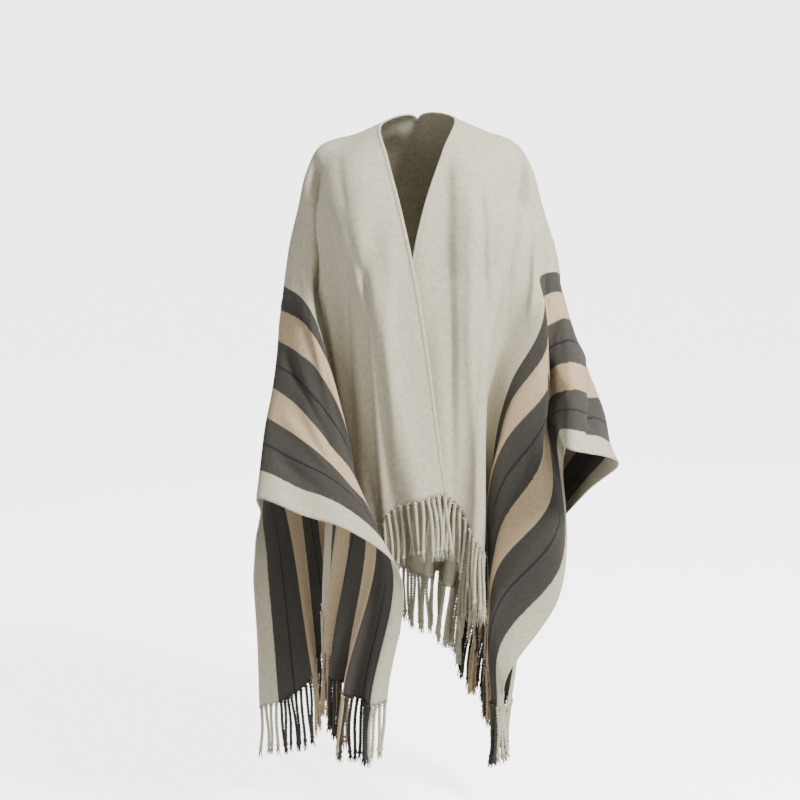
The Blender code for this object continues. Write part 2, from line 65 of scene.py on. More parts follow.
# The drape as it hangs: where each guide line lies, at places across from the slit. A thread
# runs from hem to hem through one point of each: the ridge over shoulder and sleeve, the line
# where it turns over, the sweep and the fall down the body, and the hem.
guides = {
    ("ridge", "right"): guideLine(
        (0.000, -0.062, 0.000, -0.007),
        (0.060, -0.116, 0.005, -0.029),
        (0.117, -0.172, 0.005, -0.048),
        (0.162, -0.193, 0.005, -0.088),
        (0.234, -0.210, 0.010, -0.158),
        (0.309, -0.227, 0.012, -0.230),
        (0.365, -0.236, 0.010, -0.290),
        (0.462, -0.244, -0.020, -0.384),
        (0.552, -0.252, -0.070, -0.458),
        (0.662, -0.263, -0.145, -0.542),
        (0.762, -0.267, -0.215, -0.619),
    ),
    ("ridge", "left"): guideLine(
        (0.000, 0.062, 0.000, 0.003),
        (0.060, 0.116, 0.005, -0.020),
        (0.117, 0.172, 0.005, -0.043),
        (0.162, 0.195, 0.005, -0.075),
        (0.234, 0.216, 0.010, -0.145),
        (0.309, 0.234, 0.010, -0.220),
        (0.365, 0.245, 0.005, -0.265),
        (0.462, 0.253, -0.050, -0.340),
        (0.552, 0.257, -0.120, -0.405),
        (0.662, 0.257, -0.206, -0.470),
        (0.762, 0.253, -0.287, -0.522),
    ),
    ("front", "right", "over"): guideLine(
        (0.000, -0.051, -0.070, -0.065),
        (0.060, -0.111, -0.060, -0.065),
        (0.117, -0.156, -0.040, -0.075),
        (0.162, -0.181, -0.030, -0.110),
        (0.234, -0.194, -0.020, -0.174),
        (0.300, -0.206, -0.020, -0.238),
        (0.365, -0.206, -0.035, -0.300),
        (0.462, -0.205, -0.080, -0.395),
        (0.552, -0.203, -0.136, -0.480),
        (0.662, -0.202, -0.190, -0.562),
        (0.762, -0.200, -0.238, -0.640),
    ),
    ("front", "right", "sweep"): guideLine(
        (0.000, -0.031, -0.108, -0.138),
        (0.060, -0.095, -0.112, -0.146),
        (0.117, -0.138, -0.090, -0.156),
        (0.162, -0.165, -0.056, -0.165),
        (0.234, -0.180, -0.038, -0.205),
        (0.300, -0.190, -0.036, -0.260),
        (0.365, -0.190, -0.058, -0.316),
        (0.462, -0.172, -0.122, -0.418),
        (0.552, -0.155, -0.177, -0.528),
        (0.662, -0.140, -0.212, -0.590),
        (0.762, -0.124, -0.250, -0.662),
    ),
    ("front", "right", "fall"): guideLine(
        (0.000, -0.008, -0.130, -0.242),
        (0.060, -0.072, -0.134, -0.262),
        (0.117, -0.105, -0.120, -0.263),
        (0.162, -0.130, -0.085, -0.250),
        (0.234, -0.155, -0.050, -0.270),
        (0.300, -0.178, -0.038, -0.305),
        (0.365, -0.172, -0.076, -0.355),
        (0.462, -0.146, -0.143, -0.455),
        (0.552, -0.115, -0.188, -0.580),
        (0.662, -0.080, -0.225, -0.648),
        (0.762, -0.048, -0.252, -0.712),
    ),
    ("front", "right", "hem"): guideLine(
        (0.000, 0.049, -0.162, -0.625),
        (0.060, 0.000, -0.172, -0.636),
        (0.100, -0.040, -0.158, -0.652),
        (0.140, -0.072, -0.150, -0.690),
        (0.175, -0.098, -0.115, -0.735),
        (0.215, -0.120, -0.080, -0.775),
        (0.260, -0.140, -0.050, -0.810),
        (0.300, -0.162, -0.045, -0.840),
        (0.340, -0.172, -0.072, -0.870),
        (0.385, -0.150, -0.098, -0.900),
        (0.425, -0.165, -0.130, -0.920),
        (0.470, -0.136, -0.138, -0.938),
        (0.515, -0.150, -0.170, -0.952),
        (0.560, -0.120, -0.168, -0.962),
        (0.612, -0.128, -0.204, -0.972),
        (0.662, -0.094, -0.198, -0.980),
        (0.712, -0.082, -0.232, -0.980),
        (0.762, -0.052, -0.226, -0.974),
    ),
    ("front", "left", "over"): guideLine(
        (0.000, 0.042, -0.060, -0.049),
        (0.060, 0.098, -0.060, -0.062),
        (0.117, 0.145, -0.040, -0.075),
        (0.162, 0.174, -0.030, -0.110),
        (0.234, 0.195, -0.022, -0.174),
        (0.309, 0.210, -0.028, -0.230),
        (0.365, 0.214, -0.035, -0.267),
        (0.462, 0.223, -0.062, -0.352),
        (0.552, 0.227, -0.095, -0.424),
        (0.612, 0.228, -0.114, -0.464),
        (0.662, 0.230, -0.128, -0.496),
        (0.712, 0.240, -0.132, -0.532),
        (0.762, 0.249, -0.134, -0.558),
    ),
    ("front", "left", "sweep"): guideLine(
        (0.000, 0.011, -0.098, -0.135),
        (0.060, 0.087, -0.108, -0.146),
        (0.117, 0.130, -0.095, -0.156),
        (0.162, 0.160, -0.070, -0.175),
        (0.234, 0.178, -0.055, -0.236),
        (0.309, 0.200, -0.065, -0.290),
        (0.365, 0.215, -0.085, -0.333),
        (0.462, 0.222, -0.133, -0.444),
        (0.507, 0.214, -0.160, -0.502),
        (0.552, 0.205, -0.182, -0.570),
        (0.612, 0.222, -0.190, -0.632),
        (0.662, 0.231, -0.190, -0.688),
        (0.712, 0.240, -0.186, -0.750),
        (0.762, 0.244, -0.158, -0.815),
    ),
    ("front", "left", "fall"): guideLine(
        (0.000, -0.011, -0.115, -0.233),
        (0.060, 0.065, -0.124, -0.262),
        (0.117, 0.110, -0.122, -0.275),
        (0.162, 0.130, -0.106, -0.310),
        (0.234, 0.136, -0.076, -0.350),
        (0.309, 0.148, -0.064, -0.400),
        (0.365, 0.162, -0.096, -0.446),
        (0.462, 0.150, -0.138, -0.536),
        (0.552, 0.141, -0.160, -0.680),
        (0.612, 0.136, -0.168, -0.757),
        (0.662, 0.138, -0.173, -0.820),
        (0.712, 0.140, -0.177, -0.898),
        (0.762, 0.150, -0.178, -0.966),
    ),
    ("front", "left", "hem"): guideLine(
        (0.000, -0.031, -0.132, -0.625),
        (0.060, 0.040, -0.148, -0.632),
        (0.100, 0.070, -0.140, -0.655),
        (0.140, 0.094, -0.164, -0.705),
        (0.185, 0.114, -0.156, -0.735),
        (0.235, 0.096, -0.114, -0.755),
        (0.280, 0.080, -0.080, -0.780),
        (0.320, 0.086, -0.048, -0.805),
        (0.365, 0.112, -0.050, -0.835),
        (0.407, 0.132, -0.076, -0.855),
        (0.450, 0.122, -0.098, -0.872),
        (0.500, 0.140, -0.108, -0.900),
        (0.552, 0.124, -0.128, -0.940),
        (0.612, 0.142, -0.140, -0.985),
        (0.662, 0.128, -0.156, -1.000),
        (0.712, 0.138, -0.170, -1.006),
        (0.762, 0.150, -0.168, -1.002),
    ),
    ("back", "right", "over"): guideLine(
        (0.000, 0.000, 0.062, -0.004),
        (0.060, -0.060, 0.072, -0.030),
        (0.117, -0.118, 0.070, -0.052),
        (0.162, -0.165, 0.055, -0.085),
        (0.234, -0.203, 0.055, -0.160),
        (0.309, -0.222, 0.055, -0.235),
        (0.365, -0.231, 0.050, -0.295),
        (0.462, -0.240, 0.030, -0.395),
        (0.552, -0.248, -0.015, -0.475),
        (0.662, -0.262, -0.085, -0.570),
        (0.762, -0.272, -0.145, -0.660),
    ),
    ("back", "right", "sweep"): guideLine(
        (0.000, 0.000, 0.100, -0.060),
        (0.060, -0.060, 0.110, -0.075),
        (0.117, -0.118, 0.110, -0.100),
        (0.162, -0.160, 0.105, -0.140),
        (0.234, -0.190, 0.105, -0.215),
        (0.309, -0.205, 0.115, -0.300),
        (0.365, -0.212, 0.120, -0.360),
        (0.462, -0.222, 0.105, -0.460),
        (0.552, -0.240, 0.070, -0.550),
        (0.662, -0.268, 0.000, -0.655),
        (0.762, -0.290, -0.060, -0.745),
    ),
    ("back", "right", "fall"): guideLine(
        (0.000, 0.000, 0.125, -0.150),
        (0.060, -0.060, 0.133, -0.165),
        (0.117, -0.112, 0.132, -0.190),
        (0.162, -0.148, 0.138, -0.235),
        (0.234, -0.178, 0.140, -0.320),
        (0.309, -0.192, 0.158, -0.410),
        (0.365, -0.200, 0.168, -0.475),
        (0.462, -0.210, 0.155, -0.580),
        (0.552, -0.225, 0.125, -0.670),
        (0.662, -0.258, 0.080, -0.780),
        (0.762, -0.298, 0.040, -0.860),
    ),
    ("back", "right", "hem"): guideLine(
        (0.000, 0.000, 0.150, -0.860),
        (0.055, -0.034, 0.180, -0.860),
        (0.120, -0.050, 0.122, -0.866),
        (0.175, -0.078, 0.170, -0.880),
        (0.225, -0.084, 0.128, -0.900),
        (0.300, -0.117, 0.192, -0.925),
        (0.370, -0.124, 0.130, -0.948),
        (0.430, -0.151, 0.166, -0.972),
        (0.490, -0.158, 0.112, -0.996),
        (0.552, -0.192, 0.138, -1.020),
        (0.612, -0.198, 0.092, -1.048),
        (0.662, -0.230, 0.085, -1.076),
        (0.712, -0.262, 0.092, -1.096),
        (0.762, -0.298, 0.085, -1.106),
    ),
    ("back", "left", "over"): guideLine(
        (0.000, 0.000, 0.062, -0.004),
        (0.060, 0.060, 0.072, -0.028),
        (0.117, 0.118, 0.070, -0.050),
        (0.162, 0.168, 0.055, -0.078),
        (0.234, 0.215, 0.055, -0.150),
        (0.309, 0.243, 0.055, -0.235),
        (0.365, 0.255, 0.045, -0.285),
        (0.462, 0.275, -0.005, -0.365),
        (0.552, 0.295, -0.070, -0.430),
        (0.662, 0.318, -0.150, -0.504),
        (0.762, 0.330, -0.235, -0.553),
    ),
    ("back", "left", "sweep"): guideLine(
        (0.000, 0.000, 0.100, -0.060),
        (0.060, 0.060, 0.110, -0.075),
        (0.117, 0.118, 0.110, -0.100),
        (0.162, 0.160, 0.105, -0.135),
        (0.234, 0.195, 0.105, -0.205),
        (0.309, 0.222, 0.110, -0.295),
        (0.365, 0.240, 0.110, -0.355),
        (0.462, 0.262, 0.080, -0.445),
        (0.552, 0.285, 0.020, -0.515),
        (0.662, 0.300, -0.070, -0.588),
        (0.762, 0.292, -0.140, -0.625),
    ),
    ("back", "left", "fall"): guideLine(
        (0.000, 0.000, 0.125, -0.150),
        (0.060, 0.060, 0.128, -0.165),
        (0.117, 0.112, 0.138, -0.190),
        (0.162, 0.148, 0.138, -0.230),
        (0.234, 0.178, 0.142, -0.310),
        (0.309, 0.200, 0.155, -0.400),
        (0.365, 0.215, 0.160, -0.460),
        (0.462, 0.235, 0.140, -0.560),
        (0.552, 0.245, 0.100, -0.640),
        (0.662, 0.235, 0.030, -0.720),
        (0.762, 0.215, -0.040, -0.780),
    ),
    ("back", "left", "hem"): guideLine(
        (0.000, 0.000, 0.150, -0.860),
        (0.045, 0.022, 0.128, -0.860),
        (0.105, 0.037, 0.176, -0.864),
        (0.170, 0.060, 0.120, -0.876),
        (0.240, 0.074, 0.186, -0.895),
        (0.300, 0.089, 0.134, -0.920),
        (0.360, 0.099, 0.174, -0.945),
        (0.430, 0.119, 0.116, -0.970),
        (0.500, 0.133, 0.174, -0.998),
        (0.560, 0.145, 0.127, -1.028),
        (0.612, 0.162, 0.148, -1.050),
        (0.662, 0.166, 0.106, -1.070),
        (0.712, 0.178, 0.070, -1.082),
        (0.762, 0.166, 0.030, -1.090),
    ),
}

# Folds down the cloth, as ridges, or troughs where deep is negative. start and full are places
# along a thread: 0 at the ridge, 1 where it turns over, 2 at the sweep, 3 at the fall, 4 the hem.
foldColumns = "across width deep start full"
folds = {
    ("front", "right"): table(foldColumns, [
        (0.065, 0.018, 0.006, 1.6, 3.2),
        (0.100, 0.014, -0.006, 1.6, 3.2),
        (0.140, 0.016, -0.008, 1.8, 3.2),
    ]),
    ("front", "left"): table(foldColumns, [
        (0.030, 0.016, -0.004, 1.4, 3.0),
        (0.122, 0.020, -0.006, 1.0, 2.8),
    ]),
    ("back", "right"): table(foldColumns, [
        (0.050, 0.022, 0.006, 1.8, 3.0),
        (0.110, 0.022, -0.007, 1.6, 3.0),
        (0.170, 0.020, 0.008, 1.8, 3.0),
    ]),
    ("back", "left"): table(foldColumns, [
        (0.050, 0.020, -0.006, 1.8, 3.0),
        (0.110, 0.022, 0.007, 1.6, 3.0),
        (0.170, 0.020, -0.008, 1.8, 3.0),
    ]),
}

# Smaller creases, soft troughs, or ridges where deep is positive. Each runs through its places
# on the cloth, toSlit wide on its slit side and toSelvedge on the other, and each of its ends
# fades over this share of its run.
creaseFade = 0.25


def crease(deep, toSlit, toSelvedge, *places):
    path = table("along across", places)
    return {"deep": deep, "toSlit": toSlit, "toSelvedge": toSelvedge, "path": path}


creases = {
    ("front", "right"): [
        # The deep valley inside the sleeve, and the ridges and valleys beside it
        crease(-0.0260, 0.009, 0.022, (0.0, 0.130), (0.5, 0.143), (1.1, 0.158), (1.5, 0.174),
               (2.1, 0.234), (2.7, 0.280), (3.1, 0.300), (3.2, 0.292), (3.4, 0.273),
               (3.6, 0.245), (3.8, 0.205)),
        crease(0.0060, 0.012, 0.010, (2.3, 0.225), (3.0, 0.258), (3.15, 0.264), (3.25, 0.260),
               (3.4, 0.244), (3.55, 0.210), (3.8, 0.165)),
        crease(-0.0040, 0.014, 0.014, (2.4, 0.102), (2.8, 0.126), (3.0, 0.145), (3.1, 0.172),
               (3.25, 0.208), (3.4, 0.214), (3.5, 0.205), (3.75, 0.176)),
        crease(-0.0070, 0.022, 0.016, (1.8, 0.034), (2.5, 0.059), (2.8, 0.073), (3.0, 0.090),
               (3.15, 0.116), (3.35, 0.143), (3.6, 0.151), (4.3, 0.136)),
        crease(0.0050, 0.014, 0.012, (2.2, 0.022), (3.0, 0.036), (3.3, 0.060), (3.7, 0.084),
               (4.3, 0.110)),
        crease(-0.0030, 0.010, 0.014, (0.7, 0.085), (1.4, 0.092), (2.1, 0.094)),
        # Soft ones along the sleeve's stripes
        crease(0.0047, 0.018, 0.014, (0.3, 0.360), (1.0, 0.376), (1.9, 0.392)),
        crease(-0.0054, 0.014, 0.020, (0.2, 0.470), (0.9, 0.500), (1.8, 0.540), (2.5, 0.552)),
        crease(0.0047, 0.016, 0.018, (0.4, 0.590), (1.1, 0.604), (2.0, 0.640)),
        crease(-0.0047, 0.016, 0.012, (0.3, 0.668), (1.0, 0.690), (1.8, 0.704)),
        # Down the part that falls behind
        crease(0.0041, 0.014, 0.014, (3.0, 0.360), (3.5, 0.352), (4.3, 0.362)),
        crease(-0.0047, 0.012, 0.016, (3.1, 0.492), (3.6, 0.500), (4.3, 0.492)),
        crease(0.0041, 0.016, 0.012, (3.1, 0.640), (3.6, 0.648), (4.3, 0.640)),
    ],
    ("front", "left"): [
        # The broad valley and its straight edge, and those out to the sleeve
        crease(-0.0088, 0.022, 0.006, (0.8, 0.012), (1.9, 0.028), (2.5, 0.039), (3.0, 0.051),
               (3.3, 0.066), (3.8, 0.080), (4.3, 0.092)),
        crease(0.0054, 0.014, 0.014, (1.4, 0.052), (2.7, 0.076), (3.2, 0.097), (3.5, 0.117),
               (3.9, 0.140)),
        crease(-0.0088, 0.012, 0.006, (1.5, 0.076), (2.0, 0.090), (2.5, 0.111), (3.0, 0.139),
               (3.3, 0.160)),
        crease(0.0047, 0.008, 0.010, (1.1, 0.118), (1.7, 0.124), (2.5, 0.148), (2.9, 0.225)),
        crease(-0.0200, 0.008, 0.020, (-0.2, 0.130), (1.0, 0.182), (1.8, 0.190), (2.2, 0.196),
               (2.5, 0.220), (2.8, 0.270)),
        crease(0.0096, 0.018, 0.014, (0.6, 0.240), (1.1, 0.266), (1.8, 0.299), (2.4, 0.325)),
        crease(-0.0096, 0.014, 0.030, (0.0, 0.225), (0.25, 0.295), (0.65, 0.380), (1.0, 0.450)),
        # Along the sleeve's stripes and down the panel
        crease(0.0041, 0.016, 0.020, (-0.3, 0.470), (0.2, 0.480), (0.7, 0.500)),
        crease(-0.0047, 0.014, 0.016, (-0.4, 0.600), (0.2, 0.608), (0.8, 0.620)),
        crease(0.0041, 0.018, 0.014, (2.1, 0.430), (2.6, 0.424), (3.2, 0.410)),
        crease(-0.0047, 0.014, 0.018, (2.2, 0.520), (2.8, 0.540), (3.5, 0.556)),
        crease(0.0041, 0.016, 0.014, (2.2, 0.640), (2.9, 0.652), (4.3, 0.664)),
        crease(-0.0041, 0.012, 0.014, (3.2, 0.600), (3.7, 0.588), (4.3, 0.592)),
    ],
    ("back", "right"): [
        crease(-0.0061, 0.012, 0.020, (0.6, 0.070), (1.6, 0.084), (2.9, 0.092)),
        crease(0.0061, 0.018, 0.012, (0.5, 0.190), (1.5, 0.222), (3.1, 0.232)),
        crease(-0.0128, 0.008, 0.020, (0.1, 0.250), (1.1, 0.282), (2.4, 0.300), (3.3, 0.296)),
        crease(0.0068, 0.014, 0.018, (0.4, 0.390), (1.8, 0.424), (3.0, 0.430)),
        crease(-0.0068, 0.018, 0.008, (0.3, 0.505), (1.6, 0.524), (3.2, 0.520)),
        crease(0.0047, 0.016, 0.014, (0.5, 0.640), (1.7, 0.628), (3.4, 0.616)),
        crease(-0.0034, 0.010, 0.014, (0.9, 0.148), (1.4, 0.152), (2.2, 0.144)),
    ],
    ("back", "left"): [
        crease(0.0054, 0.014, 0.018, (0.5, 0.080), (1.5, 0.074), (2.6, 0.078)),
        crease(-0.0136, 0.008, 0.022, (0.0, 0.165), (1.2, 0.200), (2.3, 0.222), (3.3, 0.226)),
        crease(0.0068, 0.012, 0.016, (0.4, 0.286), (1.9, 0.306), (3.0, 0.312)),
        crease(-0.0096, 0.020, 0.008, (0.3, 0.384), (1.7, 0.410), (3.4, 0.424)),
        crease(0.0054, 0.018, 0.014, (0.6, 0.505), (1.8, 0.524), (3.0, 0.530)),
        crease(-0.0128, 0.020, 0.026, (0.3, 0.760), (0.45, 0.690), (0.6, 0.628), (0.85, 0.580)),
        crease(-0.0054, 0.014, 0.016, (1.2, 0.650), (2.2, 0.640), (3.3, 0.628)),
    ],
}

# Gentle unevenness all over the cloth, as waves: radians a metre across and a guide line along,
# and where each starts
unevenness = {"height": 0.0011, "grown": 0.5, "waves": (
    (26, 1.4, 0.6), (14, 3.85, 3.8), (42, 1.75, 8.2), (34, 5.25, 5.2))}


def hermite(t, start, end, leaving, arriving):
    return ((2 * t**3 - 3 * t**2 + 1) * start + (t**3 - 2 * t**2 + t) * leaving
            + (3 * t**2 - 2 * t**3) * end + (t**3 - t**2) * arriving)


def smooth(t):
    t = np.clip(t, 0, 1)
    return t * t * (3 - 2 * t)


# A smooth curve through a table's rows, read at each place in at
def through(at, knots, values):
    at = np.clip(at, knots[0], knots[-1])
    step = np.diff(knots)
    slope = np.diff(values) / step
    tangent = np.empty_like(values)
    tangent[1:-1] = (slope[:-1] * step[1:] + slope[1:] * step[:-1]) / (step[1:] + step[:-1])
    tangent[0], tangent[-1] = slope[0], slope[-1]
    k = np.clip(np.searchsorted(knots, at, side="right") - 1, 0, len(step) - 1)
    t = (at - knots[k]) / step[k]
    return hermite(t, values[k], values[k + 1], tangent[k] * step[k], tangent[k + 1] * step[k])


def guide(line, across):
    return np.stack([through(across, line["across"], line[axis]) for axis in "xyz"], -1)


# Points of the plain cloth, along from the ridge (0) to the hem (4)
def threadPoints(half, side, across, along):
    other = {"front": "back", "back": "front"}[half]
    stops = [guide(guides["ridge", side], across)]
    stops += [guide(guides[half, side, name], across) for name in ("over", "sweep", "fall", "hem")]
    before = guide(guides[other, side, "over"], across)
    gaps = [np.linalg.norm(b - a, axis=-1, keepdims=True)
            for a, b in zip([before] + stops[:-1], stops)]
    tangents = []
    for k, stop in enumerate(stops[:-1]):
        arriving = (stop - (stops[k - 1] if k else before)) / gaps[k]
        leaving = (stops[k + 1] - stop) / gaps[k + 1]
        mix = (arriving * gaps[k + 1] + leaving * gaps[k]) / (gaps[k] + gaps[k + 1])
        if half == "back" and k == 1:  # the slit ends in a corner at the nape
            near = np.clip(1 - across / cut["napeWidth"], 0, 1)[..., None]
            mix = mix * (1 - near) + leaving * near
        tangents.append(mix)
    tangents.append((stops[4] - stops[3]) / gaps[4])
    points = np.zeros(np.broadcast(across, along).shape + (3,))
    for k in range(4):
        t = np.clip(along - k, 0, 1)[..., None]
        span = gaps[k + 1]
        piece = hermite(t, stops[k], stops[k + 1], tangents[k] * span, tangents[k + 1] * span)
        here = (along >= k) & ((along < k + 1) | (k == 3))
        points = np.where(here[..., None], piece, points)
    return points


# The plain cloth's unit normal, out of the garment
def outward(half, side, across, along):
    step = 0.004
    low, high = np.clip(across - step, 0, halfWidth), np.clip(across + step, 0, halfWidth)
    near, far = np.clip(along - step, 0, 4), np.clip(along + step, 0, 4)
    sideways = threadPoints(half, side, high, along) - threadPoints(half, side, low, along)
    onward = threadPoints(half, side, across, far) - threadPoints(half, side, across, near)
    normal = np.cross(sideways, onward)
    normal /= np.linalg.norm(normal, axis=-1, keepdims=True)
    turned = (half == "back") != (side == "left")
    return -normal if turned else normal


def rowsOf(columnTable):
    return zip(*columnTable.values())


# How far folds, creases and unevenness lift the cloth off its plain surface
def liftOf(half, side, across, along):
    lift = np.zeros(across.shape)
    for centre, width, deep, start, full in rowsOf(folds[half, side]):
        grown = smooth((along - start) / (full - start))
        lift += deep * grown * np.exp(-((across - centre) / width) ** 2)
    for one in creases[half, side]:
        path = one["path"]
        centre = np.interp(along, path["along"], path["across"])
        gone = (along - path["along"][0]) / (path["along"][-1] - path["along"][0])
        fade = smooth(gone / creaseFade) * smooth((1 - gone) / creaseFade)
        width = np.where(across < centre, one["toSlit"], one["toSelvedge"])
        lift += one["deep"] * fade * np.exp(-((across - centre) / width) ** 2)
    signed = across if side == "left" else -across
    onward = along if half == "front" else -along
    waves = sum(np.sin(a * signed + b * onward + phase) for a, b, phase in unevenness["waves"])
    lift += unevenness["height"] * waves * smooth(along / unevenness["grown"])
    if half == "back":  # the two sides meet at the middle of the back
        lift *= np.clip(across / cut["middleFade"], 0, 1)
    return lift


def clothPoints(half, side, across, along):
    across, along = np.broadcast_arrays(np.asarray(across, float), np.asarray(along, float))
    points = threadPoints(half, side, across, along)
    return points + liftOf(half, side, across, along)[..., None] * outward(half, side, across, along)


def alongRows(steps):
    return np.concatenate([k + np.arange(count) / count for k, count in enumerate(steps)] + [[4]])


# The whole woven rectangle as one surface, joined behind the nape and open along the slit
def makeCloth():
    bm = bmesh.new()
    lay = bm.loops.layers.uv.new("Cut")
    even = np.linspace(0, halfWidth, mesh["columns"] + 1)
    for side in ("right", "left"):
        sign = -1 if side == "right" else 1
        sheets = {}
        for half, steps in (("front", mesh["frontRows"]), ("back", mesh["backRows"])):
            across, along = np.meshgrid(even, alongRows(steps), indexing="ij")
            sheets[half] = clothPoints(half, side, across, along)
        points = np.concatenate([sheets["front"][:, ::-1], sheets["back"][:, 1:]], axis=1)
        length = np.linalg.norm(np.diff(points, axis=1), axis=-1)
        length = np.concatenate([np.zeros((len(even), 1)), np.cumsum(length, axis=1)], axis=1)
        length -= length[:, [sheets["front"].shape[1] - 1]]
        verts = [[bm.verts.new(p) for p in column] for column in points]
        for i in range(points.shape[0] - 1):
            for j in range(points.shape[1] - 1):
                corners = [(i, j), (i + 1, j), (i + 1, j + 1), (i, j + 1)]
                if sign > 0:
                    corners.reverse()
                face = bm.faces.new([verts[a][b] for a, b in corners])
                for loop, (a, b) in zip(face.loops, corners):
                    loop[lay].uv = (sign * even[a], length[a, b])
    bmesh.ops.remove_doubles(bm, verts=bm.verts, dist=1e-5)
    data = bpy.data.meshes.new("cloth")
    bm.to_mesh(data)
    bm.free()
    data.shade_smooth()
    obj = bpy.data.objects.new("cloth", data)
    bpy.context.scene.collection.objects.link(obj)
    shell = obj.modifiers.new("Thickness", "SOLIDIFY")
    shell.thickness = cut["wall"]
    shell.offset = 0
    return obj


# Chains of points as a mesh of edges, with their values, ready to be read as curves
def addPaths(name, paths, values):
    bm = bmesh.new()
    layers = {key: bm.verts.layers.float.new(key) for key in values}
    for k, path in enumerate(paths):
        chain = [bm.verts.new(p) for p in path]
        for a, b in zip(chain, chain[1:]):
            bm.edges.new((a, b))
        for key, layer in layers.items():
            for i, v in enumerate(chain):
                value = values[key][k]
                v[layer] = value[i] if np.ndim(value) else value
    data = bpy.data.meshes.new(name)
    bm.to_mesh(data)
    bm.free()
    obj = bpy.data.objects.new(name, data)
    bpy.context.scene.collection.objects.link(obj)
    return obj


# A small node-tree writer: node(type, inputs by name or place, settings)
def nodeMaker(tree):
    def make(kind, inputs=None, **settings):
        made = tree.nodes.new(kind)
        for key, value in settings.items():
            setattr(made, key, value)
        for key, value in (inputs or {}).items():
            socket = made.inputs[key]
            if isinstance(value, bpy.types.NodeSocket):
                tree.links.new(value, socket)
            else:
                socket.default_value = value
        return made
    return make


def newTree(name, kind, inputs, outputs):
    tree = bpy.data.node_groups.new(name, kind)
    for title, socketType, default in inputs:
        socket = tree.interface.new_socket(title, in_out="INPUT", socket_type=socketType)
        if default is not None:
            socket.default_value = default
    for title, socketType in outputs:
        tree.interface.new_socket(title, in_out="OUTPUT", socket_type=socketType)
    return tree


# Runs a Geometry Nodes tree over an object and keeps its result as a plain mesh
def growMesh(obj, tree, values, name):
    modifier = obj.modifiers.new("Grow", "NODES")
    modifier.node_group = tree
    for item in tree.interface.items_tree:
        if item.in_out == "INPUT" and item.name in values:
            modifier[item.identifier] = values[item.name]
    evaluated = obj.evaluated_get(bpy.context.evaluated_depsgraph_get())
    data = bpy.data.meshes.new_from_object(evaluated)
    data.name = name
    bpy.data.objects.remove(obj)
    grown = bpy.data.objects.new(name, data)
    bpy.context.scene.collection.objects.link(grown)
    return grown


# Fringe: two yarns twisted round each other below the hem, with a knot and a tuft at the end
fringe = {
    "pitch": 0.012,
    "length": 0.098,
    "yarn": 0.0021,
    "plyOffset": 0.0018,
    "twist": 0.0105,
    "rootSpread": 0.0024,
    "rootLength": 0.005,
    "sway": 0.0038,
    "plumb": 0.8,  # how far a strand turns from the cloth's own slope to straight down
    "ripple": 0.0012,
    "rootSink": 0.001,
    "uneven": 0.08,
    "pathPoints": 12,
    "sides": 5,
    "step": 0.0030,
    "knotStart": 0.93,
    "knotFull": 0.97,
    "knotSize": 1.5,
    "knotRadius": 0.0038,
    "tuftLength": 0.018,
    "tuftHairs": 9,
    "tuftRoot": 0.0010,
    "tuftSpread": 0.0036,
    "hairTaper": ((0, 0.0011), (0.5, 0.0010), (1, 0.0005)),
    "seed": 7,
}
# How each strand differs from the last: radians from one strand to the next
strandWaves = {"length": 12.9, "lean": 2.1, "slowLean": 0.37, "swing": 1.3, "turn": 2.4}


